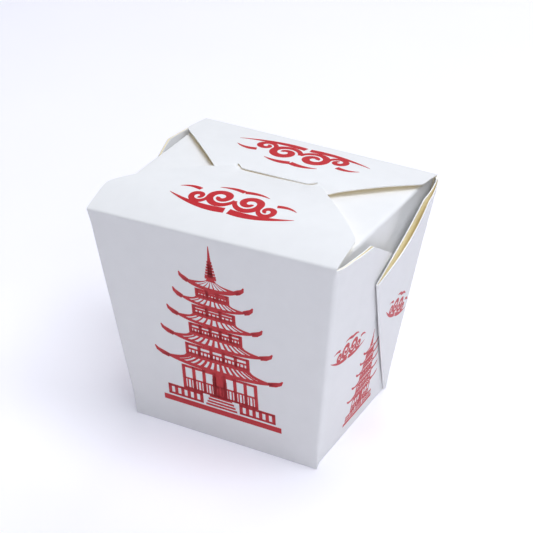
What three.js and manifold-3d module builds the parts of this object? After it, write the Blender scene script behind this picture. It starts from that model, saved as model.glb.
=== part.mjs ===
// A shut takeaway food pail, folded from one blank of coated paperboard.
// Four tapered walls stand on a flat bottom. At each upright corner a web of board is folded double
// and laid against a side wall. Two side flaps lie under a front and a rear flap, and the tongue of
// the front flap is tucked into a hooked slit in the rear one.
// Millimetres, +X to the right, +Y to the rear, +Z up, origin at the middle of the bottom.
import * as THREE from "three";
import { mergeVertices } from "three/addons/utils/BufferGeometryUtils.js";
import Module from "manifold-3d";

// Outside of the pail, measured between its folded corner edges.
const TOP_WIDTH = 106;
const TOP_DEPTH = 92.8;
const BASE_WIDTH = 82.7;
const BASE_DEPTH = 65.9;
const HEIGHT = 99;
const RIM_TWIST = 1.1; // front right and rear left corners stand this much high, the others low
const RIM_LIFT = 0.8; // how much less low the rear right corner is
const BOARD = 0.45; // thickness of the paperboard
const LAP = 0.06; // depth to which laid-on boards sink into each other
const SIDE_CREASE = 1.8; // radius of the soft fold along the top of a side wall

// Flaps, measured from their folds: where their sides turn into the diagonals, where they end, and
// how their upper face springs up to a crest and falls again to the tip.
const FRONT_SHOULDER = { run: 15.5, half: 53.3 };
const FRONT_TIP = { run: 56.4, half: 18 };
const FRONT_ARCH = { crest: 24, lift: 5.6, fall: 4.4 };
const REAR_SHOULDER = { run: 16, half: 53.4 };
const REAR_TIP = { run: 47.5, half: 19.5 };
const REAR_ARCH = { crest: 30, lift: 2.75, fall: 0.9 };

// Slit in the rear flap: a straight run with a short hook at each end, held open by the tongue.
const SLIT_Y = 7.3;
const SLIT_HALF = 15.4;
const SLIT_HOOK = { x: 18, y: 9.3 };
const SLIT_GAPE = 2.4;

// Corner webs: the outline of one ply, along its corner edge and across from it.
const WEB_KINK = { along: 97.5, across: 24 }; // where the cut top edge turns down
const WEB_FOLD_LENGTH = 90.5; // fold between the two plies, from the bottom corner
const WEB_START = 0.012; // share of the length left out at the bottom point
const WEB_FOLD_RISE = 1.3; // above 1, the fold lies closer to the wall low down
const WEB_POCKET_START = 0.62; // share of the length where the plies begin to part
const WEB_SPREAD_SKEW = 1.55; // above 1, the plies part furthest nearer the fold than the corner edge
const WEB_STAND = 0.8; // what the thickness of two plies adds to the stand-off
const WEB_SETTLE = 0.08; // share of the breadth over which it is added
// How far a web stands off its wall at the fold, how far it bulges between fold and corner, how near
// the corner it does, and how far its plies part. On each side the rear web lies over the front one.
const WEBS = [
  { side: 1, end: 1, fold: 3.7, bulge: 2.7, skew: 0.72, opening: 2.2 },
  { side: 1, end: -1, fold: 1.3, bulge: 1.75, skew: 0.72, opening: 0.8 },
  { side: -1, end: 1, fold: 3, bulge: 2.9, skew: 1.15, opening: 0.45 },
  { side: -1, end: -1, fold: 1, bulge: 1.4, skew: 0.72, opening: 0.5 },
];

// Divisions of the curved boards.
const FLAP_STEPS = [10, 18];
const WEB_STEPS = [11, 7];
const CREASE_STEPS = 5;

const wasm = await Module();
wasm.setup();

const mix = THREE.MathUtils.lerp;
const halfWidth = (z) => mix(BASE_WIDTH, TOP_WIDTH, z / HEIGHT) / 2;
const halfDepth = (z) => mix(BASE_DEPTH, TOP_DEPTH, z / HEIGHT) / 2;
function rimHeight(x, y) {
  const across = x / TOP_WIDTH;
  const back = y / TOP_DEPTH;
  return HEIGHT - 4 * RIM_TWIST * across * back + RIM_LIFT * (0.5 + across) * (0.5 + back);
}

// Between two walls the flat blank has a quarter turn, less the taper of both. The fold of the web
// halves what is left, and ends in a point on the cut edge.
const slantX = (TOP_WIDTH - BASE_WIDTH) / 2;
const slantY = (TOP_DEPTH - BASE_DEPTH) / 2;
const taperX = Math.atan2(slantX, Math.hypot(HEIGHT, slantY));
const taperY = Math.atan2(slantY, Math.hypot(HEIGHT, slantX));
const WEB_FOLD_ANGLE = (Math.PI / 2 - taperX - taperY) / 2;
const WEB_POINT = {
  along: WEB_FOLD_LENGTH * Math.cos(WEB_FOLD_ANGLE),
  across: WEB_FOLD_LENGTH * Math.sin(WEB_FOLD_ANGLE),
};
const WEB_KINK_SHARE = WEB_KINK.across / WEB_KINK.along / Math.tan(WEB_FOLD_ANGLE);

// Sends every vertex of a geometry through place(x, y, z), which gives a Vector3.
function shaped(geometry, place) {
  const at = geometry.getAttribute("position");
  for (let i = 0; i < at.count; i++) {
    const p = place(at.getX(i), at.getY(i), at.getZ(i));
    at.setXYZ(i, p.x, p.y, p.z);
  }
  return geometry;
}

// A board with the given divisions, placed by shares of its length, its breadth and its thickness.
function board(steps, place) {
  const flat = new THREE.BoxGeometry(1, 1, 1, steps[0], steps[1], 1).translate(0.5, 0.5, 0.5);
  return shaped(flat, place);
}

// A closed geometry as a solid. A mirrored one has its faces turned to point out again.
function solid(geometry) {
  const bare = geometry.clone().deleteAttribute("normal").deleteAttribute("uv");
  const merged = mergeVertices(bare, 1e-4);
  const vertProperties = merged.getAttribute("position").array;
  const make = (triVerts) => new wasm.Manifold(new wasm.Mesh({ numProp: 3, vertProperties, triVerts }));
  const made = make(new Uint32Array(merged.index.array));
  return made.volume() > 0 ? made : make(new Uint32Array(merged.index.array).reverse());
}

// The filled pail: its front outline, with soft shoulders, tapered in depth and twisted at the rim.
// Its sides lie two boards inside the corner edges, behind the webs.
function filledPail() {
  const inset = 2 * BOARD;
  const base = BASE_WIDTH / 2 - inset;
  const top = TOP_WIDTH / 2 - inset;
  const lean = Math.atan2(top - base, HEIGHT);
  const reach = SIDE_CREASE * Math.tan(Math.PI / 4 + lean / 2); // from the corner to where the fold starts
  const outline = new THREE.Shape();
  outline.moveTo(-base, 0).lineTo(base, 0);
  outline.lineTo(top - reach * Math.sin(lean), HEIGHT - reach * Math.cos(lean));
  outline.quadraticCurveTo(top, HEIGHT, top - reach, HEIGHT);
  outline.lineTo(-top + reach, HEIGHT);
  outline.quadraticCurveTo(-top, HEIGHT, -top + reach * Math.sin(lean), HEIGHT - reach * Math.cos(lean));
  const settings = { depth: 2, steps: 4, curveSegments: CREASE_STEPS, bevelEnabled: false };
  return shaped(new THREE.ExtrudeGeometry(outline, settings), (x, z, share) => {
    const across = share - 1;
    const twisted = (z * rimHeight(x, across * halfDepth(HEIGHT))) / HEIGHT;
    return new THREE.Vector3(x, across * halfDepth(twisted), twisted);
  });
}

// The front wall (end -1) or the rear wall (end 1), out to its two corner edges.
function endWall(end) {
  return board([2, 1], (u, v, w) => {
    const side = 2 * u - 1;
    const z = v * rimHeight((side * TOP_WIDTH) / 2, (end * TOP_DEPTH) / 2);
    return new THREE.Vector3(side * halfWidth(z), end * (halfDepth(z) - w * BOARD), z);
  });
}

// Half the width of a flap at a distance from its fold, and how far its upper face rises there.
function flapHalf(run, shoulder, tip) {
  if (run < shoulder.run) return mix(TOP_WIDTH / 2, shoulder.half, run / shoulder.run);
  return mix(shoulder.half, tip.half, (run - shoulder.run) / (tip.run - shoulder.run));
}
function flapRise(run, arch, tip) {
  if (run < arch.crest) return arch.lift * Math.sin((Math.PI / 2) * (run / arch.crest));
  return arch.lift - arch.fall * Math.pow((run - arch.crest) / (tip.run - arch.crest), 2);
}

// How much further back the slit lies at x, where its ends turn into the hooks.
function hookSetback(x) {
  const along = (Math.abs(x) - SLIT_HALF) / (SLIT_HOOK.x - SLIT_HALF);
  return (SLIT_HOOK.y - SLIT_Y) * THREE.MathUtils.clamp(along, 0, 1);
}

// A flap hinged on the front (end -1) or rear (end 1) edge of the rim. One row of its points lies on
// the shoulder, so that the corner there stays sharp. The tongue of the front flap dives where the
// slit is, so its sides fall a little later than its middle.
function flap(end, shoulder, tip, arch) {
  const turn = Math.round(FLAP_STEPS[1] * 0.3) / FLAP_STEPS[1];
  return board(FLAP_STEPS, (u, v, w) => {
    const beyond = mix(shoulder.run, tip.run, (v - turn) / (1 - turn));
    const run = v < turn ? (shoulder.run * v) / turn : beyond;
    const x = (2 * u - 1) * flapHalf(run, shoulder, tip);
    const y = end * (TOP_DEPTH / 2 - run);
    const late = end < 0 ? hookSetback(x) * Math.pow(run / tip.run, 4) : 0;
    return new THREE.Vector3(x, y, rimHeight(x, y) + flapRise(run - late, arch, tip) + (w - 1) * BOARD);
  });
}

// The gap that the slit opens in the rear flap: from its line with the two hooks, towards the front.
function slit() {
  const hook = (side) => new THREE.Vector2(side * SLIT_HOOK.x, SLIT_HOOK.y);
  const bend = (side) => new THREE.Vector2(side * SLIT_HALF, SLIT_Y);
  const line = [hook(-1), bend(-1), bend(1), hook(1)];
  const front = line.map((p) => new THREE.Vector2(p.x, p.y - SLIT_GAPE)).reverse();
  const settings = { depth: REAR_ARCH.lift, bevelEnabled: false };
  const gap = new THREE.ExtrudeGeometry(new THREE.Shape([...line, ...front]), settings);
  return gap.translate(0, 0, HEIGHT + REAR_ARCH.lift / 2);
}

// The share of a ply's breadth at step u, with one step on the kink of the cut edge.
function webShare(u) {
  const kinkStep = Math.round(WEB_STEPS[0] * 0.4) / WEB_STEPS[0];
  if (u < kinkStep) return (u / kinkStep) * WEB_KINK_SHARE;
  return mix(WEB_KINK_SHARE, 1, (u - kinkStep) / (1 - kinkStep));
}

// How far along a corner edge of this length a ray from the bottom corner meets the cut edge.
function webReach(share, length) {
  const onTop = share <= WEB_KINK_SHARE;
  const from = onTop ? { along: length, across: 0 } : WEB_KINK;
  const to = onTop ? WEB_KINK : WEB_POINT;
  const fall = (to.along - from.along) / (to.across - from.across);
  return (from.along - fall * from.across) / (1 - fall * share * Math.tan(WEB_FOLD_ANGLE));
}

// One ply of a web. Side -1 is left and 1 right, end -1 is front and 1 rear. The ply spreads like a
// fan from the bottom corner: share u goes from the corner edge to the fold, share v to the cut edge.
// The inner ply lies on the wall, and the outer one parts from it by the given opening.
function webPly({ side, end, fold, bulge, skew }, opening) {
  const foot = new THREE.Vector3((side * BASE_WIDTH) / 2, (end * BASE_DEPTH) / 2, 0);
  const rim = rimHeight((side * TOP_WIDTH) / 2, (end * TOP_DEPTH) / 2);
  const edge = new THREE.Vector3(side * halfWidth(rim), end * halfDepth(rim), rim).sub(foot);
  const length = edge.length();
  edge.normalize();
  const across = new THREE.Vector3(0, -end, 0);
  const outward = new THREE.Vector3().crossVectors(edge, across).multiplyScalar(side * end).normalize();
  across.addScaledVector(edge, -across.dot(edge)).normalize();

  return board(WEB_STEPS, (u, v, w) => {
    const share = webShare(u);
    const reach = webReach(share, length);
    const slope = share * Math.tan(WEB_FOLD_ANGLE);
    const up = mix(WEB_START, 1, v);
    const q = (reach * slope) / WEB_POINT.across;
    const swell = bulge * Math.sin(Math.PI * Math.pow(q, skew)) * up * up;
    const pocket = Math.pow(Math.max(0, (up - WEB_POCKET_START) / (1 - WEB_POCKET_START)), 1.5);
    const parted = opening * Math.sin(Math.PI * Math.pow(q, WEB_SPREAD_SKEW)) * pocket;
    const stand = WEB_STAND * Math.min(1, q / WEB_SETTLE) * up;
    const between = fold * q * Math.pow(up, WEB_FOLD_RISE) + swell + parted + stand - BOARD;
    const face = opening > 0 ? mix(-LAP, BOARD, w) : mix(-BOARD - LAP, LAP, w);
    return foot
      .clone()
      .addScaledVector(edge, reach * up)
      .addScaledVector(across, reach * up * slope)
      .addScaledVector(outward, between + face);
  });
}

const boards = [
  endWall(-1),
  endWall(1),
  flap(-1, FRONT_SHOULDER, FRONT_TIP, FRONT_ARCH),
  ...WEBS.flatMap((web) => [webPly(web, 0), webPly(web, web.opening)]),
];
const rearFlap = solid(flap(1, REAR_SHOULDER, REAR_TIP, REAR_ARCH)).subtract(solid(slit()));
const folded = boards.reduce((whole, piece) => whole.add(solid(piece)), solid(filledPail()).add(rearFlap));

const mesh = folded.getMesh();
const geometry = new THREE.BufferGeometry();
geometry.setAttribute("position", new THREE.BufferAttribute(new Float32Array(mesh.vertProperties), 3));
geometry.setIndex(new THREE.BufferAttribute(new Uint32Array(mesh.triVerts), 1));
geometry.computeVertexNormals();

const coatedBoard = new THREE.MeshStandardMaterial({ color: 0xf1f2f4, roughness: 0.55, metalness: 0 });
const pail = new THREE.Mesh(geometry, coatedBoard);
pail.name = "takeaway_box";

const part = new THREE.Group();
part.add(pail);
export default part;
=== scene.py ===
# %% [markdown]
# # A shut takeaway pail
#
# A food pail is folded from one blank of paperboard, white and clay-coated outside, cream inside.
# Its walls flare, a web of board is folded double at each upright corner, and two large flaps lock
# over two small ones. This lesson folds the same blank in Blender, panel by panel, prints it in red
# and lights it. It takes the sizes that the imported solid was drawn from, and stands in for that solid.

# %% Load the frame
import math
from types import SimpleNamespace

import bpy
from mathutils import Matrix, Vector


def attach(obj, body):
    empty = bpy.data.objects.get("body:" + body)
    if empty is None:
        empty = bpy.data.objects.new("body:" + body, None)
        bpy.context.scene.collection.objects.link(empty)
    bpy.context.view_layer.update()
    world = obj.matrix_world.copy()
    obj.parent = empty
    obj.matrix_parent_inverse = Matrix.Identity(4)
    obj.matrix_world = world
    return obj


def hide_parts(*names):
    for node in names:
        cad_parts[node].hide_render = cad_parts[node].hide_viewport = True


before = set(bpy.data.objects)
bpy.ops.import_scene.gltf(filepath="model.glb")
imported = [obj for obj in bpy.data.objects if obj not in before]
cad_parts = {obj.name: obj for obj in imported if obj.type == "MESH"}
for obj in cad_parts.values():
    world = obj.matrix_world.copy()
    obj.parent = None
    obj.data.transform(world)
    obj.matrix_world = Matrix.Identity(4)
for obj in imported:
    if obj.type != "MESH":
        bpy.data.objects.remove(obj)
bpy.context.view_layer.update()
PAIL = "takeaway_box"
MM = 0.001

# %% [markdown]
# ## Camera
#
# The camera could be set by eye, but a pail has seven sharp corners in view, and they are enough to
# work out where the lens stood. Its place, three angles and focal length are written down here. The
# focal length is in pixels of a square picture, so the lens follows from the width of the sensor.

# %% Stand the camera where the lens stood
PICTURE_SIDE = 533
FOCAL_LENGTH = 1616.8
SENSOR_WIDTH = 36
LENS_PLACE = Vector((262.3, -501.6, 377.9))
AZIMUTH, ELEVATION, ROLL = (math.radians(angle) for angle in (27.54, 28.97, 0.80))

toward = Vector((math.sin(AZIMUTH) * math.cos(ELEVATION),
                 -math.cos(AZIMUTH) * math.cos(ELEVATION),
                 math.sin(ELEVATION)))
level = Vector((0, 0, 1)).cross(toward).normalized()
upright = toward.cross(level)
right = level * math.cos(ROLL) + upright * math.sin(ROLL)
up = upright * math.cos(ROLL) - level * math.sin(ROLL)

bpy.ops.object.select_all(action="DESELECT")
bpy.ops.object.camera_add()
camera = bpy.context.object
camera.data.sensor_width = SENSOR_WIDTH
camera.data.lens = FOCAL_LENGTH / PICTURE_SIDE * SENSOR_WIDTH
camera.data.clip_start = 0.01
turn = Matrix((right, up, toward)).transposed().to_4x4()
camera.matrix_world = Matrix.Translation(LENS_PLACE * MM) @ turn
bpy.context.scene.camera = camera
print("camera: lens", round(camera.data.lens, 1), "mm")

# %% [markdown]
# ## The sizes of the pail
#
# Sizes are in millimetres, measured between the folded corner edges, and are the ones that the solid
# was drawn from. The rim isn't quite level: a folded pail is always a little twisted.

# %% Name the sizes
TOP_WIDTH, TOP_DEPTH = 106, 92.8
BASE_WIDTH, BASE_DEPTH = 82.7, 65.9
HEIGHT = 99
RIM_TWIST = 1.1
RIM_LIFT = 0.8      # the rear right corner is less low than the front left one
BOARD = 0.45
FOLD = 0.9          # how far a pressed fold takes up the board on either side of its line
CORNER_FOLD = 1.5   # the upright folds are pressed less sharply
SIDE_INSET = {1: 1.1, -1: 0.6}  # the side walls lie behind two plies of web


def mix(a, b, share):
    return a + (b - a) * share


def ease(share):
    """A soft step from 0 to 1."""
    share = min(max(share, 0), 1)
    return share * share * (3 - 2 * share)


def half_width(z):
    return mix(BASE_WIDTH, TOP_WIDTH, z / HEIGHT) / 2


def half_depth(z):
    return mix(BASE_DEPTH, TOP_DEPTH, z / HEIGHT) / 2


def rim_height(x, y):
    across, back = x / TOP_WIDTH, y / TOP_DEPTH
    return HEIGHT - 4 * RIM_TWIST * across * back + RIM_LIFT * (0.5 + across) * (0.5 + back)


def bend(start, corner, end, share):
    """A point on the curve that rounds off a corner."""
    return start.lerp(corner, share).lerp(corner.lerp(end, share), share)


print("pail:", TOP_WIDTH, "by", TOP_DEPTH, "mm at the rim,", HEIGHT, "mm tall")

# %% [markdown]
# ## Bending a sheet
#
# Board bends, but it hardly stretches, so every panel is a sheet with a grain of rows and columns.
# A panel could be a cube pushed into shape, or a curve given a bevel. A flat grid is better here: it
# is added once, and each of its points is then moved to where that point of the blank ends up. Rows
# are counted by stations: the whole number says which stretch of the sheet it is, such as wall or
# fold, and the fraction how far along it.

# %% A grid that is sent to its place
def stations(*steps):
    """Evenly spaced stations, with the given number of steps in each stretch."""
    marks = [stretch + step / count for stretch, count in enumerate(steps) for step in range(count)]
    return marks + [len(steps)]


def stretch_of(station, stretches):
    stretch = min(int(station), stretches - 1)
    return stretch, station - stretch


def bent_sheet(across, along, place, hole=None):
    """A grid with these columns and rows, each point of it sent to place(column, row)."""
    bpy.ops.object.select_all(action="DESELECT")
    bpy.ops.mesh.primitive_grid_add(x_subdivisions=len(across) - 1, y_subdivisions=len(along) - 1, size=1)
    sheet = bpy.context.object
    spot = [(across[i % len(across)], along[i // len(across)]) for i in range(len(sheet.data.vertices))]
    for vertex, (column, row) in zip(sheet.data.vertices, spot):
        vertex.co = place(column, row) * MM
    if hole:
        bpy.ops.object.mode_set(mode="EDIT")
        bpy.ops.mesh.select_mode(type="FACE")
        bpy.ops.mesh.select_all(action="DESELECT")
        bpy.ops.object.mode_set(mode="OBJECT")
        for face in sheet.data.polygons:
            middle = [sum(spot[i][axis] for i in face.vertices) / len(face.vertices) for axis in (0, 1)]
            face.select = hole(*middle)
        bpy.ops.object.mode_set(mode="EDIT")
        bpy.ops.mesh.delete(type="FACE")
        bpy.ops.mesh.select_mode(type="VERT")
        bpy.ops.object.mode_set(mode="OBJECT")
    return sheet


sheets = []
print("a strip of 4, 36 and 5 steps has", len(stations(4, 36, 5)), "rows")

# %% [markdown]
# ## The corner webs
#
# At each upright corner the blank has more board than the walls need. It is folded double into a
# web that fans out from the bottom corner and lies against the side wall. Its upper edge is cut: it
# runs level from the rim, turns down at a kink and ends in a point on the fold. The two plies part
# along that cut edge, and the cream inside shows between them. On each side the rear web lies on top.

# %% Sizes of a web
WEB_KINK = SimpleNamespace(along=97.5, across=24)
WEB_FOLD_LENGTH = 90.5
POCKET_START = 0.62  # share of the web's length below which its plies lie together
FOLD_RISE = 1.3      # above 1, the fold lies closer to the wall low down
SPREAD_SKEW = 1.55   # above 1, the plies part furthest nearer the fold than the corner
POCKET_CURVE = 1.5   # above 1, they part slowly at first
WEB_STAND = 0.8      # what the thickness of two plies adds to the stand-off
WEB_SETTLE = 0.08    # share of the breadth over which it is added

slant_x = (TOP_WIDTH - BASE_WIDTH) / 2
slant_y = (TOP_DEPTH - BASE_DEPTH) / 2
taper_x = math.atan2(slant_x, math.hypot(HEIGHT, slant_y))
taper_y = math.atan2(slant_y, math.hypot(HEIGHT, slant_x))
fold_angle = (math.pi / 2 - taper_x - taper_y) / 2
WEB_POINT = SimpleNamespace(along=WEB_FOLD_LENGTH * math.cos(fold_angle),
                            across=WEB_FOLD_LENGTH * math.sin(fold_angle))
KINK_SHARE = WEB_KINK.across / WEB_KINK.along / math.tan(fold_angle)
print("web: fold at", round(math.degrees(fold_angle), 1), "degrees from the corner edge")

# %% Where a point of a web lies
def corner_web(side, end, **stand_offs):
    """The frame of one web: side -1 is left, end -1 is front. The rest says how far it stands off."""
    foot = Vector((side * BASE_WIDTH / 2, end * BASE_DEPTH / 2, 0))
    rim = rim_height(side * TOP_WIDTH / 2, end * TOP_DEPTH / 2)
    edge = Vector((side * half_width(rim), end * half_depth(rim), rim)) - foot
    length = edge.length
    edge.normalize()
    level_across = Vector((0, -end, 0))
    outward = edge.cross(level_across).normalized() * side * end
    across = (level_across - edge * level_across.dot(edge)).normalized()
    return SimpleNamespace(side=side, end=end, foot=foot, rim=rim, edge=edge, length=length,
                           across=across, outward=outward, **stand_offs)


def web_reach(share, length):
    """How far along the corner edge a ray from the bottom corner meets the cut edge."""
    first = share <= KINK_SHARE
    start = SimpleNamespace(along=length, across=0) if first else WEB_KINK
    stop = WEB_KINK if first else WEB_POINT
    fall = (stop.along - start.along) / (stop.across - start.across)
    return (start.along - fall * start.across) / (1 - fall * share * math.tan(fold_angle))


def stand_off(web, share, up, opening):
    """How far the outer face of a web stands off the side of the pail, with its plies parted or not."""
    breadth = min(1, web_reach(share, web.length) * share * math.tan(fold_angle) / WEB_POINT.across)
    swell = web.bulge * math.sin(math.pi * breadth ** web.skew) * up * up
    pocket = max(0, (up - POCKET_START) / (1 - POCKET_START)) ** POCKET_CURVE
    parted = opening * math.sin(math.pi * breadth ** SPREAD_SKEW) * pocket
    plies = WEB_STAND * min(1, breadth / WEB_SETTLE) * up
    return web.fold * breadth * up ** FOLD_RISE + swell + parted + plies


def on_web(web, share, up, offset):
    reach = web_reach(share, web.length) * up
    flat = web.edge * reach + web.across * (reach * share * math.tan(fold_angle))
    return web.foot + flat + web.outward * offset


# How far each web stands off at its fold, bulges on the way there, and opens between its plies.
webs = {
    "right_rear": corner_web(1, 1, fold=3.7, bulge=2.7, skew=0.72, opening=2.2),
    "right_front": corner_web(1, -1, fold=1.3, bulge=1.75, skew=0.72, opening=0.8),
    "left_rear": corner_web(-1, 1, fold=3.0, bulge=2.9, skew=1.15, opening=0.45),
    "left_front": corner_web(-1, -1, fold=1.0, bulge=1.4, skew=0.72, opening=0.5),
}
print("rim corners:", {name: round(web.rim, 1) for name, web in webs.items()}, "mm high")

# %% [markdown]
# The sheet of a web starts halfway round the soft corner fold, so that it meets the wall there point
# for point. It goes out to the fold, turns over in a small half circle and comes back behind itself.

# %% Stretches of a web
WALL_ROWS = 36
WEB_COLUMNS = stations(3, 14, 16, 6, 26)
PLY_GAP = 0.1
BACK_PLY_END = 0.5   # how far from the corner the hidden ply ends
TOP_CATCH_UP = 0.12  # share over which the cut edge rises to its full height beside the rim fold
# The corner fold runs out over these distances from the rim and the foot, to next to nothing.
CORNER_RUN_OUT = SimpleNamespace(rim=6, foot=12, least=0.02)


def corner_height(web, row):
    return mix(FOLD, web.rim - FOLD, row)


def web_up(web, share, row):
    edge_up = corner_height(web, row) / web.rim
    return edge_up + row * (FOLD / web.rim) * ease(share / TOP_CATCH_UP)


def corner_reach(web, row):
    """How wide the soft corner fold is. It runs out towards the rim and the bottom corner."""
    z = corner_height(web, row)
    share = ease((web.rim - z) / CORNER_RUN_OUT.rim) * ease(z / CORNER_RUN_OUT.foot)
    return CORNER_FOLD * share + CORNER_RUN_OUT.least


def share_at(web, row, distance):
    """The share of the web's breadth that lies a distance from its corner edge."""
    return distance / (web.length * corner_height(web, row) / web.rim * math.tan(fold_angle))


def corner_bend(web, row, share):
    """A point on the corner fold, from the end wall at 0 to the outer ply of the web at 1."""
    corner = web.foot + web.edge * (web.length * corner_height(web, row) / web.rim)
    on_wall = corner - Vector((web.side * corner_reach(web, row), 0, 0))
    start = share_at(web, row, corner_reach(web, row))
    on_ply = outer_ply(web, start, row)
    return bend(on_wall, corner, on_ply, share)


def outer_ply(web, share, row):
    height = web_up(web, share, row)
    return on_web(web, share, height, stand_off(web, share, height, web.opening))


def inner_ply(web, share, row):
    height = web_up(web, share, row)
    return on_web(web, share, height, stand_off(web, share, height, 0) - 2 * BOARD - PLY_GAP)


def turned_fold(web, row, share):
    """The half circle between the plies, round the fold."""
    front, behind = outer_ply(web, 1, row), inner_ply(web, 1, row)
    beyond = web.across * math.cos(fold_angle) - web.edge * math.sin(fold_angle)
    radius = (front - behind).length / 2
    angle = math.pi * share
    middle = (front + behind) / 2
    return middle + (front - middle) * math.cos(angle) + beyond * radius * math.sin(angle)


print("sheet of a web:", len(WEB_COLUMNS), "columns,", WALL_ROWS + 1, "rows")

# %% Fold the four webs
def web_place(web):
    def place(column, row):
        stretch, share = stretch_of(column, 5)
        start = share_at(web, row, corner_reach(web, row))
        if stretch == 0:
            return corner_bend(web, row, mix(0.5, 1, share))
        if stretch == 1:
            return outer_ply(web, mix(start, KINK_SHARE, share), row)
        if stretch == 2:
            return outer_ply(web, mix(KINK_SHARE, 1, share), row)
        if stretch == 3:
            return turned_fold(web, row, share)
        return inner_ply(web, mix(1, min(0.9, share_at(web, row, BACK_PLY_END)), share), row)
    return place


for web in webs.values():
    columns = WEB_COLUMNS if web.side * web.end < 0 else WEB_COLUMNS[::-1]
    sheets.append(bent_sheet(columns, [row / WALL_ROWS for row in range(WALL_ROWS + 1)], web_place(web)))
print("webs folded:", len(sheets))

# %% [markdown]
# ## Flaps
#
# The front and rear flaps spring up from their folds and fall again towards the middle. The front
# flap ends in a tongue that dives through a hooked slit in the rear flap. Where the front flap lies
# over the rear one, the rear one gives way a little. A bend modifier would curve a whole flap evenly,
# but these rise more steeply than they fall, so outline and height are short formulas.

# %% The outline and the height of a flap
# Shoulder, tip and crest are measured from the fold. The tip lies lower than the crest by its fall.
FLAPS = {
    -1: SimpleNamespace(shoulder=15.5, shoulder_half=53.3, tip=56.4, tip_half=18,
                        crest=24, lift=5.6, fall=4.4),
    1: SimpleNamespace(shoulder=16, shoulder_half=53.4, tip=47.5, tip_half=19.5,
                       crest=30, lift=2.75, fall=0.9),
}
SHOULDER_ROUND = 0.7
SLIT_Y, SLIT_HALF = 7.3, 14
HOOK_HALF, HOOK_DEPTH = 18, 2.6
SLIT_GAPE = 2.4    # breadth of the band that is left out of the rear flap
SLIT_GIVE = 0.6    # how far the rear flap gives way in front of the slit
GIVE_SPREAD = 2    # distance over which it does so
# The tongue sags a little left of its middle, so the slit gapes there.
TONGUE_SAG = SimpleNamespace(depth=0.28, x=-8, half=20)


def flap_half(flap, run):
    """Half the width of a flap at a distance from its fold, with its shoulder a little rounded."""
    side = mix(TOP_WIDTH / 2, flap.shoulder_half, run / flap.shoulder)
    diagonal = mix(flap.shoulder_half, flap.tip_half, (run - flap.shoulder) / (flap.tip - flap.shoulder))
    softened = [math.exp(-(half - flap.shoulder_half) / SHOULDER_ROUND) for half in (side, diagonal)]
    return flap.shoulder_half - SHOULDER_ROUND * math.log(sum(softened))


def hook_setback(x):
    """How much further back the slit lies at x, where its ends turn into the hooks."""
    return HOOK_DEPTH * ease((abs(x) - SLIT_HALF) / (HOOK_HALF - SLIT_HALF))


def flap_height(end, x, run):
    """The height of a flap's upper face."""
    flap = FLAPS[end]
    y = end * (TOP_DEPTH / 2 - run)
    give = 0
    if end < 0:
        run -= hook_setback(x) * (max(run, 0) / flap.tip) ** 4
    else:
        reach = GIVE_SPREAD + max(0, abs(x) - HOOK_HALF)
        give = SLIT_GIVE * ease((SLIT_Y + hook_setback(x) - y) / reach)
    if run < flap.crest:
        rise = flap.lift * math.sin(math.pi / 2 * run / flap.crest)
    else:
        rise = flap.lift - flap.fall * ((run - flap.crest) / (flap.tip - flap.crest)) ** 2
    if end < 0:
        aside = min(1, abs(x - TONGUE_SAG.x) / TONGUE_SAG.half)
        sag = TONGUE_SAG.depth * math.cos(math.pi / 2 * aside) ** 2
        rise -= sag * ease((run - flap.crest) / (flap.tip - flap.crest))
    return rim_height(x, y) + rise - give


def on_flap(end, x, run):
    return Vector((x, end * (TOP_DEPTH / 2 - run), flap_height(end, x, run)))


print("flaps:", {end: round(flap.lift, 1) for end, flap in FLAPS.items()}, "mm lift")

# %% [markdown]
# ## Bottom, front and rear
#
# Bottom, front wall and front flap are one strip of the blank, and so are rear wall and rear flap.
# Each strip is one sheet, with a pressed fold between its panels. The slit is a band of faces that is
# left out of the rear flap, bent round with its rows, so that its edge stays clean.

# %% Columns of an end strip
# Half a strip is 1 wide, with its columns closest together at the corner.
COLUMN_GAP = 0.01    # a column this near to one at a hook makes way for it
FINE_COLUMNS = [1 - 0.006 * step for step in range(6)]
COARSE_COLUMNS = [0.0325 * step for step in range(1, 30)]
half_columns = sorted(round(column, 4) for column in FINE_COLUMNS + COARSE_COLUMNS)
slit_run = TOP_DEPTH / 2 - SLIT_Y
slit_row_half = flap_half(FLAPS[1], slit_run)
hook_columns = [mix(SLIT_HALF, HOOK_HALF, step / 4) / slit_row_half for step in range(5)]


def end_columns(extra=()):
    kept = [column for column in half_columns
            if all(abs(column - mark) >= COLUMN_GAP for mark in extra)]
    one_side = sorted(kept + list(extra))
    return [-column for column in reversed(one_side)] + [0] + one_side


print("columns:", len(end_columns()), "and with the hooks", len(end_columns(hook_columns)))

# %% Stretches of an end strip
def wall_point(end, column, row):
    """A point of the front (-1) or rear (1) wall, with the soft corner folds at its sides."""
    side = -end if column > 0 else end
    web = next(web for web in webs.values() if (web.side, web.end) == (side, end))
    top = rim_height(-end * column * TOP_WIDTH / 2, end * TOP_DEPTH / 2)
    z = mix(FOLD, top - FOLD, row)
    reach = corner_reach(web, row)
    past = abs(column) * half_width(z) - (half_width(z) - reach)
    if past > 0:
        return corner_bend(web, row, past / (2 * reach))
    return Vector((-end * column * half_width(z), end * half_depth(z), z))


def bottom_point(end, column, y):
    return Vector((-end * column * (BASE_WIDTH / 2 - 2 * FOLD), y, 0))


def foot_fold(end, column, share):
    start = bottom_point(end, column, end * (BASE_DEPTH / 2 - FOLD))
    corner = Vector((-end * column * BASE_WIDTH / 2, end * BASE_DEPTH / 2, 0))
    return bend(start, corner, wall_point(end, column, 0), share)


def rim_fold(end, column, share):
    x = -end * column * TOP_WIDTH / 2
    corner = Vector((x, end * TOP_DEPTH / 2, rim_height(x, end * TOP_DEPTH / 2)))
    return bend(wall_point(end, column, 1), corner, flap_point(end, column, FOLD), share)


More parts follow.
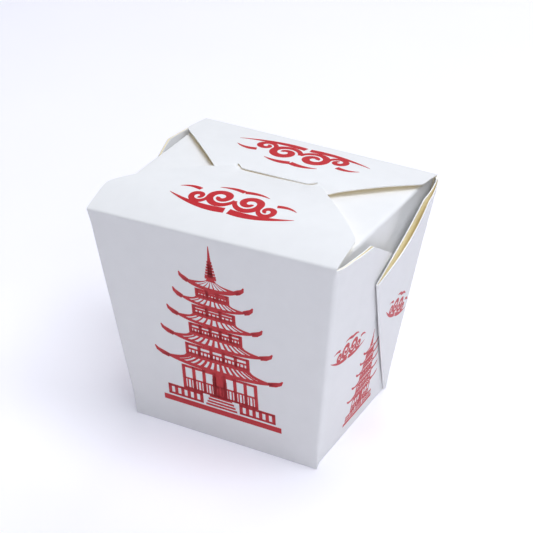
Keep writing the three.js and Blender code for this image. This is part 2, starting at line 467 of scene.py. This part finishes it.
def flap_point(end, column, run):
    return on_flap(end, -end * column * flap_half(FLAPS[end], run), run)


print("top of the front wall:", [round(c, 1) for c in wall_point(-1, 0, 1)], "mm")

# %% Fold the two end strips
HOOK_FADE = 8        # how far beyond the hooks the rows run straight again


def front_place(column, row):
    flap = FLAPS[-1]
    stretch, share = stretch_of(row, 6)
    if stretch == 0:
        inside = BASE_DEPTH / 2 - FOLD
        return bottom_point(-1, column, mix(inside, -inside, share))
    if stretch == 1:
        return foot_fold(-1, column, share)
    if stretch == 2:
        return wall_point(-1, column, share)
    if stretch == 3:
        return rim_fold(-1, column, share)
    if stretch == 4:
        return flap_point(-1, column, mix(FOLD, flap.shoulder, share))
    return flap_point(-1, column, mix(flap.shoulder, flap.tip, share))


def rear_place(column, row):
    flap = FLAPS[1]
    stretch, share = stretch_of(row, 7)
    if stretch == 0:
        return foot_fold(1, column, share)
    if stretch == 1:
        return wall_point(1, column, share)
    if stretch == 2:
        return rim_fold(1, column, share)
    if stretch == 3:
        return flap_point(1, column, mix(FOLD, flap.shoulder, share))
    marks = (flap.shoulder, slit_run, slit_run + SLIT_GAPE, flap.tip)
    run = mix(marks[stretch - 4], marks[stretch - 3], share)
    x = -column * flap_half(flap, run)
    follow = (ease(share), 1, 1 - ease(share))[stretch - 4]
    back_to_edge = 1 - ease((abs(x) - HOOK_HALF) / HOOK_FADE)
    return on_flap(1, x, run - hook_setback(x) * follow * back_to_edge)


def slit_band(column, row):
    return 5 < row < 6 and abs(column) < hook_columns[-1]


front_rows = stations(6, 4, WALL_ROWS, 5, 14, 34)
rear_rows = stations(4, WALL_ROWS, 5, 14, 22, 3, 8)
sheets.append(bent_sheet(end_columns(), front_rows, front_place))
sheets.append(bent_sheet(end_columns(hook_columns), rear_rows, rear_place, slit_band))
print("end strips folded, slit", 2 * HOOK_HALF, "mm wide")

# %% [markdown]
# ## Side walls
#
# A side wall ends in a small flap that is folded in first. Its fold isn't pressed hard, so it is a
# soft roll, which tightens at the corners, where the webs hold it. Only a triangle of the flap shows
# between the large ones, but it runs on underneath. A bevel would give the roll one width all along,
# so the roll is bent into the sheet, and so is the slight swell of the wall below it.

# %% Fold the two side walls
SIDE_ROLL = {1: 2.0, -1: 1.0}
CORNER_ROLL = 0.35    # share of the roll that is left at the corners
SIDE_SWELL = 1.8
SWELL_SKEW = 0.6      # below 1, the wall swells most nearer the roll than the foot
SMALL_FLAP = 50
SMALL_FLAP_CLEAR = 2.2
SMALL_FLAP_TAPER = 0.12
SIDE_COLUMNS = [step / 20 - 1 for step in range(41)]


def side_wall(side, y, z):
    """A point of a side wall, which swells a little below the roll and between its corners."""
    below = max(0, 1 - z / (rim_height(side * TOP_WIDTH / 2, y) - SIDE_ROLL[side]))
    across = y / (half_depth(z) - BOARD)
    swell = SIDE_SWELL * math.cos(math.pi / 2 * across) * math.sin(math.pi * below ** SWELL_SKEW)
    return Vector((side * (half_width(z) - SIDE_INSET[side] + swell), y, z))


def side_place(side):
    inset = SIDE_INSET[side]

    def wall(column, z):
        return side_wall(side, side * column * (half_depth(z) - BOARD), z)

    def small_flap(column, run):
        x = side * (TOP_WIDTH / 2 - inset - run)
        y = side * column * (TOP_DEPTH / 2 - SMALL_FLAP_CLEAR - SMALL_FLAP_TAPER * run)
        return Vector((x, y, rim_height(x, y)))

    def place(column, row):
        stretch, share = stretch_of(row, 4)
        roll = SIDE_ROLL[side] * mix(1, CORNER_ROLL, ease(2 * abs(column) - 1))
        edge = Vector((side * (TOP_WIDTH / 2 - inset), side * column * (TOP_DEPTH / 2 - BOARD), 0))
        edge.z = rim_height(edge.x, edge.y)
        if stretch == 0:
            start = Vector((side * (BASE_WIDTH / 2 - 2 * FOLD),
                            side * column * (BASE_DEPTH / 2 - BOARD), 0))
            return bend(start, wall(column, 0), wall(column, FOLD), share)
        if stretch == 1:
            return wall(column, mix(FOLD, edge.z - roll, share))
        if stretch == 2:
            return bend(wall(column, edge.z - roll), edge, small_flap(column, roll), share)
        return small_flap(column, mix(roll, SMALL_FLAP, share))
    return place


for side in (1, -1):
    sheets.append(bent_sheet(SIDE_COLUMNS, stations(4, 24, 8, 20), side_place(side)))
print("side walls folded, sheets in all:", len(sheets))

# %% [markdown]
# ## One blank, with a thickness
#
# The sheets are joined, and the points that two of them share are merged, so the pail is one blank
# again. Solidify gives it the thickness of the board, inwards, because the sheets are its printed
# face. The inside is a lining of its own, because it has another colour: a copy of the blank, moved
# in by the thickness of the white board and made as thin as a coating.

# %% Join the blank and give it its two layers
LINING = 0.05
MERGE_REACH = 0.001
SMOOTH_ANGLE = math.radians(35)


def apply_modifier(piece, name, kind, **settings):
    modifier = piece.modifiers.new(name, kind)
    for key, value in settings.items():
        setattr(modifier, key, value)
    bpy.context.view_layer.objects.active = piece
    bpy.ops.object.modifier_apply(modifier=name)


def select_only(*pieces):
    bpy.ops.object.select_all(action="DESELECT")
    for piece in pieces:
        piece.select_set(True)
    bpy.context.view_layer.objects.active = pieces[0]


select_only(*sheets)
bpy.ops.object.join()
board = bpy.context.object
board.name = board.data.name = "folded_board"
bpy.ops.object.mode_set(mode="EDIT")
bpy.ops.mesh.select_all(action="SELECT")
bpy.ops.mesh.remove_doubles(threshold=MERGE_REACH * MM)
bpy.ops.object.mode_set(mode="OBJECT")

bpy.ops.object.duplicate()
lining = bpy.context.object
lining.name = lining.data.name = "board_lining"
apply_modifier(lining, "inwards", "DISPLACE", strength=-(BOARD - LINING) * MM, mid_level=0)
apply_modifier(lining, "thickness", "SOLIDIFY", thickness=LINING * MM, offset=-1)
apply_modifier(board, "thickness", "SOLIDIFY", thickness=(BOARD - LINING) * MM, offset=-1,
               material_offset_rim=1)
for piece in (board, lining):
    select_only(piece)
    bpy.ops.object.shade_smooth_by_angle(angle=SMOOTH_ANGLE)
    print(piece.name, len(piece.data.polygons), "faces")

# %% [markdown]
# ## Materials
#
# Each finish starts from what the real one is. A helper adds a node, sets it and links it, and
# another turns the colours, which are read as sRGB hex, into the linear values that shaders use.

# %% Helpers for materials
def linear(code):
    channels = [int(code[i:i + 2], 16) / 255 for i in (1, 3, 5)]
    return (*[c / 12.92 if c <= 0.04045 else ((c + 0.055) / 1.055) ** 2.4 for c in channels], 1)


def add_node(tree, kind, inputs=(), **settings):
    """Adds a node. An input is set to a value, or linked if a socket is given."""
    made = tree.nodes.new(kind)
    for key, value in settings.items():
        setattr(made, key, value)
    for name, value in dict(inputs).items():
        if isinstance(value, bpy.types.NodeSocket):
            tree.links.new(value, made.inputs[name])
        else:
            made.inputs[name].default_value = value
    return made


def new_material(name):
    material = bpy.data.materials.new(name)
    material.use_nodes = True
    shader = material.node_tree.nodes["Principled BSDF"]
    coordinates = add_node(material.node_tree, "ShaderNodeTexCoord")
    return material, material.node_tree, shader, coordinates.outputs["Object"]


def per_metre(millimetres):
    """The scale of a texture whose features are this wide."""
    return 1 / (millimetres * MM)


print("the grey #808080 is", round(linear("#808080")[0], 3), "in linear light")

# %% [markdown]
# ### Clay-coated board
#
# The outside is bleached board with a calendered clay coating: an even white with a faint cloudiness
# where fibres lie thicker, and a soft sheen that the fibres break up. The cool tint of the walls
# could be painted on, but it belongs to the lamps, so the board itself is a neutral white. Real
# fibres are far finer than a pixel, so they are drawn about a millimetre wide.

# %% Clay-coated paperboard
THICK_SPOT = 7       # mm across a cloud in the board
FIBRE = 0.9
FIBRE_RELIEF = 0.05
GRAIN = (1, 1, 0.35)  # the fibres run upright


def clay_coated_board():
    material, tree, shader, place = new_material("clay_coated_paperboard")
    cloud = add_node(tree, "ShaderNodeTexNoise", {"Vector": place, "Scale": per_metre(THICK_SPOT),
                                                  "Detail": 4})
    shade = add_node(tree, "ShaderNodeMix", {"Factor": cloud.outputs["Fac"], "A": linear("#ebebeb"),
                                             "B": linear("#f1f1f1")}, data_type="RGBA")
    grain_way = add_node(tree, "ShaderNodeMapping", {"Vector": place, "Scale": GRAIN})
    fibre = add_node(tree, "ShaderNodeTexNoise", {"Vector": grain_way.outputs["Vector"],
                                                  "Scale": per_metre(FIBRE), "Detail": 6})
    gloss = add_node(tree, "ShaderNodeMapRange", {"Value": fibre.outputs["Fac"], "To Min": 0.44,
                                                  "To Max": 0.6})
    relief = add_node(tree, "ShaderNodeBump", {"Height": fibre.outputs["Fac"], "Strength": 0.06,
                                               "Distance": FIBRE_RELIEF * MM})
    tree.links.new(shade.outputs["Result"], shader.inputs["Base Color"])
    tree.links.new(gloss.outputs["Result"], shader.inputs["Roughness"])
    tree.links.new(relief.outputs["Normal"], shader.inputs["Normal"])
    shader.inputs["Specular IOR Level"].default_value = 0.35
    return material


coated = clay_coated_board()
print("material:", coated.name)

# %% [markdown]
# ### Bare board
#
# The inside is greaseproof and uncoated, cream with darker fibres, and quite matt. The lining also
# has a painted glow. It gives off a little warm light, more under the flaps than in the webs, which
# lightens and warms the shaded gaps under the flaps and between the plies. The cut edges show the
# white core of the board, a little creamy and rough from the die.

# %% Cream inside and cut edges
# Strengths of the painted glow of the lining: painted light that lightens the shaded gaps in the webs and
# under the flaps.
PAINTED_GAP_GLOW = {"webs": 0.055, "flaps": 0.125}
LINING_FIBRE = 1.2
LINING_GRAIN = (1, 1, 0.3)
DIE_NICK = 0.8


def greaseproof_inside():
    material, tree, shader, place = new_material("greaseproof_inside")
    grain_way = add_node(tree, "ShaderNodeMapping", {"Vector": place, "Scale": LINING_GRAIN})
    fibre = add_node(tree, "ShaderNodeTexNoise", {"Vector": grain_way.outputs["Vector"],
                                                  "Scale": per_metre(LINING_FIBRE), "Detail": 6})
    shade = add_node(tree, "ShaderNodeMix", {"Factor": fibre.outputs["Fac"], "A": linear("#f8f2d7"),
                                             "B": linear("#fefaea")}, data_type="RGBA")
    relief = add_node(tree, "ShaderNodeBump", {"Height": fibre.outputs["Fac"], "Strength": 0.15,
                                               "Distance": FIBRE_RELIEF * MM})
    tree.links.new(shade.outputs["Result"], shader.inputs["Base Color"])
    tree.links.new(relief.outputs["Normal"], shader.inputs["Normal"])
    shader.inputs["Roughness"].default_value = 0.85
    shader.inputs["Specular IOR Level"].default_value = 0.2
    # Painted glow: the lining emits warm light, strongest at the height of the flaps, to lighten the
    # shaded gaps.
    height = add_node(tree, "ShaderNodeSeparateXYZ", {"Vector": place})
    glow = add_node(tree, "ShaderNodeMapRange", {
        "Value": height.outputs["Z"], "From Min": (HEIGHT - 1) * MM, "From Max": (HEIGHT + 1) * MM,
        "To Min": PAINTED_GAP_GLOW["webs"], "To Max": PAINTED_GAP_GLOW["flaps"]})
    tree.links.new(glow.outputs["Result"], shader.inputs["Emission Strength"])
    shader.inputs["Emission Color"].default_value = linear("#ffdf9f")
    return material


def die_cut_edge():
    material, tree, shader, place = new_material("die_cut_board_edge")
    nick = add_node(tree, "ShaderNodeTexNoise", {"Vector": place, "Scale": per_metre(DIE_NICK),
                                                 "Detail": 5})
    shade = add_node(tree, "ShaderNodeMix", {"Factor": nick.outputs["Fac"], "A": linear("#f5ebd6"),
                                             "B": linear("#fff9ec")}, data_type="RGBA")
    tree.links.new(shade.outputs["Result"], shader.inputs["Base Color"])
    shader.inputs["Roughness"].default_value = 0.8
    shader.inputs["Specular IOR Level"].default_value = 0.2
    return material


cream, cut_edge = greaseproof_inside(), die_cut_edge()
for piece, finishes in ((board, (coated, cut_edge)), (lining, (cream,))):
    for finish in finishes:
        piece.data.materials.append(finish)
print("materials:", cream.name, cut_edge.name)

# %% [markdown]
# ### Red ink
#
# The print is one flat red, laid on by offset. It is a film a few hundredths of a millimetre thick
# that takes on the gloss of the board, slightly uneven where the ink lay thinner.

# %% Offset ink
THIN_SPOT = 1.5


def offset_ink():
    material, tree, shader, place = new_material("offset_red_ink")
    cover = add_node(tree, "ShaderNodeTexNoise", {"Vector": place, "Scale": per_metre(THIN_SPOT),
                                                  "Detail": 5})
    shade = add_node(tree, "ShaderNodeMix", {"Factor": cover.outputs["Fac"], "A": linear("#bb1f27"),
                                             "B": linear("#cf3239")}, data_type="RGBA")
    gloss = add_node(tree, "ShaderNodeMapRange", {"Value": cover.outputs["Fac"], "To Min": 0.4,
                                                  "To Max": 0.55})
    tree.links.new(shade.outputs["Result"], shader.inputs["Base Color"])
    tree.links.new(gloss.outputs["Result"], shader.inputs["Roughness"])
    shader.inputs["Specular IOR Level"].default_value = 0.35
    return material


ink = offset_ink()
print("material:", ink.name)

# %% [markdown]
# ## Print
#
# A print could be an image, but then it is only as sharp as its pixels. Here it is drawn flat from
# simple shapes, patches of ruled surface and brush strokes, and then laid on its panel as a thin film.
# The drawing is made of many small faces, so it is written straight into a mesh.

# %% Shapes to draw with
def spread(low, high, count):
    return [mix(low, high, step / count) for step in range(count + 1)]


def patch(place, us, ws):
    """Rows of points: place(u, w) for every u in each w."""
    return [[place(u, w) for u in us] for w in ws]


def block(x0, x1, y0, y1):
    return patch(lambda x, y: (x, y), spread(x0, x1, max(1, int((x1 - x0) / 5))), (y0, y1))


def stroke(points, widths):
    """A brush stroke along points, with its width at each of them."""
    edges = [[], []]
    for i, (x, y) in enumerate(points):
        before, after = points[max(i - 1, 0)], points[min(i + 1, len(points) - 1)]
        across = Vector((before[1] - after[1], after[0] - before[0])).normalized() * widths[i] / 2
        edges[0].append((x - across.x, y - across.y))
        edges[1].append((x + across.x, y + across.y))
    return edges


def moved(drawing, scale=1, turn=0, shift=(0, 0)):
    c, s = scale * math.cos(turn), scale * math.sin(turn)

    def place(x, y):
        return (c * x - s * y + shift[0], s * x + c * y + shift[1])
    return [[[place(*point) for point in row] for row in rows] for rows in drawing]


print("a block 20 mm wide has", len(block(0, 20, 0, 1)[0]), "points along it")

# %% Lay a drawing on a surface
INK_FILM = 0.05
INK_LIFT = 0.02


def lay_print(name, drawing, surface):
    """Lays a drawing on a surface, which gives the place and the outward direction of a flat point."""
    points, faces = [], []
    for rows in drawing:
        first, width = len(points), len(rows[0])
        for row in rows:
            for x, y in row:
                place, outward = surface(x, y)
                points.append((place + outward * INK_LIFT) * MM)
        for j in range(len(rows) - 1):
            for i in range(width - 1):
                corner = first + j * width + i
                faces.append((corner, corner + 1, corner + width + 1, corner + width))
    mesh = bpy.data.meshes.new(name)
    mesh.from_pydata(points, [], faces)
    film = bpy.data.objects.new(name, mesh)
    bpy.context.scene.collection.objects.link(film)
    select_only(film)
    apply_modifier(film, "film", "SOLIDIFY", thickness=INK_FILM * MM, offset=0)
    bpy.ops.object.mode_set(mode="EDIT")
    bpy.ops.mesh.select_all(action="SELECT")
    bpy.ops.mesh.normals_make_consistent(inside=False)
    bpy.ops.object.mode_set(mode="OBJECT")
    film.data.materials.append(ink)
    return film


prints = []
print("ink film:", INK_FILM, "mm")

# %% [markdown]
# ### A pagoda
#
# The picture on the walls is a plain pagoda seen from the front. Each storey has posts, rails and
# balusters, each roof is a curved sheet with upturned eaves, ruled into tile ribs, and the storeys
# shrink evenly. The roof is one formula: u runs along it and w from the eave to the ridge.

# %% Roofs and storeys
EAVES = (27.5, 23.8, 20.2, 16.8, 13.5)
STOREYS = (17, 14.2, 11.6, 9.2, 7)
EAVE_HEIGHTS = (22, 34.5, 45.5, 55.3, 64)
ROOF_HEIGHTS = (6.6, 5.9, 5.3, 4.8, 6)
EAVE_LIFT = 3.4
RIDGE_OVER = 0.6   # how far a ridge reaches past the storey above it
TOP_RIDGE = 1.6


def roof(eave, ridge, height, rise):
    def place(u, w):
        half = ridge + (eave - ridge) * (1 - w) ** 1.6
        return (u * half, height + rise * w + EAVE_LIFT * abs(u) ** 3 * (1 - w) ** 2)

    whole = spread(-1, 1, 28)
    slope = spread(0.26, 0.8, 5)
    ribs = 2 * round(eave / 4.8) + 1
    drawing = [patch(place, whole, (0, 0.13, 0.26)), patch(place, whole, (0.8, 1))]
    for side in (-1, 1):
        drawing.append(patch(place, (side * 0.82, side * 0.91, side), slope))
        tip = [place(side * 0.9, 0.08), place(side, 0.06),
               (side * eave * 1.05, height + EAVE_LIFT * 1.35),
               (side * eave * 1.09, height + EAVE_LIFT * 1.8)]
        drawing.append(stroke(tip, (2.1, 2.3, 1.6, 0.5)))
    for rib in range(1, ribs):
        middle = mix(-0.9, 0.9, rib / ribs)
        drawing.append(patch(place, (middle - 0.038, middle + 0.038), slope))
    return drawing


def storey(half, low, high):
    tall = high - low
    rail = low + 0.42 * tall
    drawing = [block(-half, half, low, low + 1.1), block(-half, half, high - 1.3, high),
               block(-half, half, rail, rail + 0.9)]
    bays = max(3, 2 * round(half / 6.5) + 1)
    for post in range(bays + 1):
        x = mix(-half, half, post / bays)
        drawing.append(block(x - 0.8, x + 0.8, low, high))
    for baluster in range(1, 3 * bays):
        x = mix(-half, half, baluster / (3 * bays))
        drawing.append(block(x - 0.35, x + 0.35, low, rail))
    return drawing


lowest_roof = roof(EAVES[0], STOREYS[1] + RIDGE_OVER, EAVE_HEIGHTS[0], ROOF_HEIGHTS[0])
print("lowest roof:", len(lowest_roof), "patches")

# %% Draw the pagoda
PLINTH_TOP = 9.2
DOOR_HALF = 3.4
SPIRE_TOP = 86


def plinth():
    drawing = [block(-28, 28, 0, 2.8)]
    for side in (-1, 1):
        low, high = sorted((side * 8.6, side * 25.5))
        drawing += [block(low, high, 3.7, 4.8), block(low, high, 7.9, PLINTH_TOP)]
        for x in spread(low + 0.8, high - 0.8, 5):
            drawing.append(block(x - 0.8, x + 0.8, 4, 9))
    for tread in range(4):
        half = mix(7.4, 5.4, tread / 3)
        drawing.append(block(-half, half, 3.6 + 1.6 * tread, 4.6 + 1.6 * tread))
    return drawing


def doorway(low, high):
    def arch(u, w):
        return (u * DOOR_HALF, low + w * ((high - low) * (0.72 + 0.2 * math.sqrt(1 - u * u))))
    return [patch(arch, spread(-1, 1, 14), (0, 1))]


def spire(low):
    drawing = [block(-2.6, 2.6, low, low + 1.1)]
    for ring in range(6):
        half = mix(2.5, 1.1, ring / 5)
        drawing.append(block(-half, half, low + 1 + 1.35 * ring, low + 2.05 + 1.35 * ring))
    drawing.append(stroke([(0, low + 1), (0, low + 9), (0, SPIRE_TOP)], (2.6, 1.5, 0.3)))
    return drawing


def pagoda():
    drawing = plinth() + doorway(PLINTH_TOP, EAVE_HEIGHTS[0])
    drawing += storey(STOREYS[0], PLINTH_TOP, EAVE_HEIGHTS[0])
    for level, (eave, height, rise) in enumerate(zip(EAVES, EAVE_HEIGHTS, ROOF_HEIGHTS)):
        last = level == len(EAVES) - 1
        ridge = TOP_RIDGE if last else STOREYS[level + 1] + RIDGE_OVER
        drawing += roof(eave, ridge, height, rise)
        if not last:
            drawing += storey(STOREYS[level + 1], height + rise, EAVE_HEIGHTS[level + 1])
    return drawing + spire(EAVE_HEIGHTS[-1] + ROOF_HEIGHTS[-1])


print("pagoda:", len(pagoda()), "patches")

# %% [markdown]
# The end walls are flat, and the side walls swell a little. A shrinkwrap could press the drawing on,
# but the formula of the wall already says where each point goes, so the film follows it exactly.

# %% Print the pagoda on the four walls
END_PAGODA = SimpleNamespace(scale=0.95, foot=13.5)
SIDE_PAGODA = SimpleNamespace(scale=0.48, foot=6, y=4)
end_lean = math.atan2(slant_y, HEIGHT)
side_lean = math.atan2(slant_x, HEIGHT)


def on_end_wall(end):
    outward = Vector((0, end * math.cos(end_lean), -math.sin(end_lean)))
    return lambda x, y: (Vector((-end * x, end * half_depth(y), y)), outward)


def on_side_wall(side):
    outward = Vector((side * math.cos(side_lean), 0, -math.sin(side_lean)))
    return lambda x, y: (side_wall(side, side * x, y), outward)


for end, name in ((-1, "front"), (1, "rear")):
    drawing = moved(pagoda(), END_PAGODA.scale, shift=(0, END_PAGODA.foot))
    prints.append(lay_print(f"{name}_pagoda_print", drawing, on_end_wall(end)))
for side, name in ((1, "right"), (-1, "left")):
    drawing = moved(pagoda(), SIDE_PAGODA.scale, shift=(side * SIDE_PAGODA.y, SIDE_PAGODA.foot))
    prints.append(lay_print(f"{name}_pagoda_print", drawing, on_side_wall(side)))
print("pagodas:", [len(film.data.polygons) for film in prints], "faces")

# %% [markdown]
# ### Clouds
#
# Flaps and webs carry a cloud scroll, an old ornament: two curls that face each other, small curls
# beside them and long tails. A curl is a brush stroke that winds in along a spiral and swells in the
# middle, a tail is one that runs out in a point, and the right half mirrors the left.

# %% Draw a cloud scroll
def curl(middle, radius, start, turns, thick):
    points, widths = [], []
    for share in spread(0, 1, 40):
        angle = start + 2 * math.pi * turns * share
        reach = radius * (1 - 0.8 * share)
        points.append((middle[0] + reach * math.cos(angle), middle[1] + reach * math.sin(angle)))
        widths.append(thick * (0.25 + 0.75 * math.sin(math.pi * (0.1 + 0.85 * share)) ** 0.8))
    return stroke(points, widths)


def tail(start, middle, stop, thick):
    points, widths = [], []
    for share in spread(0, 1, 24):
        point = bend(Vector((*start, 0)), Vector((*middle, 0)), Vector((*stop, 0)), share)
        points.append((point.x, point.y))
        swell = 0.35 + 0.65 * math.sin(math.pi * (0.25 + 0.5 * share))
        widths.append(thick * (1 - share) ** 0.7 * swell + 0.15)
    return stroke(points, widths)


def cloud_scroll():
    half = [
        curl((-7.0, 1.4), 7.0, -0.1, -1.45, 3.6),
        curl((-17.2, -1.6), 4.6, 0.5, -1.3, 2.8),
        tail((-1.0, -7.4), (-15, -9.6), (-31, -3.2), 4.0),
        tail((-19, 4.2), (-24, 6.2), (-29, 3.0), 2.8),
        tail((-0.1, 10.2), (-6, 12.4), (-12.5, 9.8), 3.2),
    ]
    mirrored = [[[(-x, y) for x, y in row] for row in rows] for rows in half]
    return half + mirrored


print("cloud scroll:", len(cloud_scroll()), "strokes")

# %% [markdown]
# Flaps and webs are curved, so a scroll is laid on by the same formulas that bent the sheets. On the
# rear flap it is turned round, to face the rear, and on a web it leans a little.

# %% Print the clouds on flaps and webs
FRONT_CLOUD = SimpleNamespace(scale=0.86, run=21)
REAR_CLOUD = SimpleNamespace(scale=0.95, run=16.5)
WEB_CLOUDS = {-1: SimpleNamespace(scale=0.5, across=17, along=52, turn=-0.3),
              1: SimpleNamespace(scale=0.5, across=17.8, along=48, turn=0.3)}


def on_flap_print(end):
    step = 0.1

    def surface(x, y):
        run = TOP_DEPTH / 2 + y if end < 0 else TOP_DEPTH / 2 - y
        slope = (flap_height(end, x, run + step) - flap_height(end, x, run - step)) / (2 * step)
        return on_flap(end, x, run), Vector((0, end * slope, 1)).normalized()
    return surface


def on_outer_ply(web):
    """A flat point is measured from the bottom corner: x across from the corner edge, y along it."""
    def surface(x, y):
        share = x / y / math.tan(fold_angle)
        height = y / web_reach(share, web.length)
        offset = stand_off(web, share, height, web.opening)
        return on_web(web, share, height, offset), web.outward
    return surface


front_cloud = moved(cloud_scroll(), FRONT_CLOUD.scale, shift=(0, FRONT_CLOUD.run - TOP_DEPTH / 2))
rear_cloud = moved(cloud_scroll(), REAR_CLOUD.scale, math.pi, shift=(0, TOP_DEPTH / 2 - REAR_CLOUD.run))
prints.append(lay_print("front_flap_print", front_cloud, on_flap_print(-1)))
prints.append(lay_print("rear_flap_print", rear_cloud, on_flap_print(1)))
for name in ("right_front", "right_rear", "left_front", "left_rear"):
    web = webs[name]
    cloud = WEB_CLOUDS[web.end]
    drawing = moved(cloud_scroll(), cloud.scale, cloud.turn, (cloud.across, cloud.along))
    prints.append(lay_print(f"{name}_web_print", drawing, on_outer_ply(web)))
print("prints:", [film.name for film in prints])

# %% [markdown]
# ## Standing for the solid
#
# Every piece rides on the one body of the pail. The board hides the imported solid and stands for it.

# %% Tie the pieces to the frame
finished = [(board, "coated_paperboard"), (lining, "bare_board")]
finished += [(film, "red_ink") for film in prints]
for piece, slot in finished:
    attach(piece, "root")
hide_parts(PAIL)
print("pieces:", len(finished))

# %% [markdown]
# ## Floor and light
#
# The pail stands on a pale floor that glows a little, as a light table does, so it stays nearly white.
# Four soft boxes light it: one overhead and one high on the right, which make the top the brightest,
# one from the front right, which fills the side, and one from the rear, which rounds the folds. The
# room around is dark, so the front wall gets most of its light from the floor and stays greyer. All
# the lamps are a little cool, like a window on an overcast day.

# %% Floor
FLOOR_SIDE = 6   # metres
PAPER_CLOUD = 60
GLOW = 0.27
bpy.ops.object.select_all(action="DESELECT")
bpy.ops.mesh.primitive_plane_add(size=FLOOR_SIDE)
floor = bpy.context.object
floor.name = "floor"
paper, paper_tree, paper_shader, paper_place = new_material("light_table_floor")
paper_cloud = add_node(paper_tree, "ShaderNodeTexNoise", {"Vector": paper_place,
                                                          "Scale": per_metre(PAPER_CLOUD)})
paper_shade = add_node(paper_tree, "ShaderNodeMix", {"Factor": paper_cloud.outputs["Fac"],
                                                     "A": linear("#ebe9ec"), "B": linear("#efedf0")},
                       data_type="RGBA")
paper_tree.links.new(paper_shade.outputs["Result"], paper_shader.inputs["Base Color"])
paper_shader.inputs["Roughness"].default_value = 0.9
paper_shader.inputs["Emission Color"].default_value = linear("#e6e7fa")
paper_shader.inputs["Emission Strength"].default_value = GLOW
floor.data.materials.append(paper)
print("floor:", FLOOR_SIDE, "m square")

# %% Soft light
# Places and widths are in metres, power is in watts.
SOFT_BOXES = {
    "overhead": SimpleNamespace(place=(0, 0, 1.7), width=1.2, power=14.1, colour="#f5f8ff"),
    "high_right": SimpleNamespace(place=(0.75, 0, 1.5), width=0.7, power=9.1, colour="#f6f9ff"),
    "front_right": SimpleNamespace(place=(0.9, -0.9, 1.1), width=1.2, power=8.3, colour="#f4f8ff"),
    "rear": SimpleNamespace(place=(0, 1.3, 1.1), width=1.2, power=7.9, colour="#f7faff"),
}
world = bpy.data.worlds.new("dark_room")
bpy.context.scene.world = world
world.use_nodes = True
world.node_tree.nodes["Background"].inputs["Color"].default_value = linear("#151617")

for name, box in SOFT_BOXES.items():
    bpy.ops.object.light_add(type="AREA", location=box.place)
    light = bpy.context.object
    light.name = name
    light.data.shape = "DISK"
    light.data.size = box.width
    light.data.energy = box.power
    light.data.color = linear(box.colour)[:3]
    aim = Vector((0, 0, HEIGHT / 2 * MM)) - light.location
    light.rotation_euler = aim.to_track_quat("-Z", "Y").to_euler()
bpy.context.scene.view_settings.view_transform = "Standard"
print("lit by", list(SOFT_BOXES))
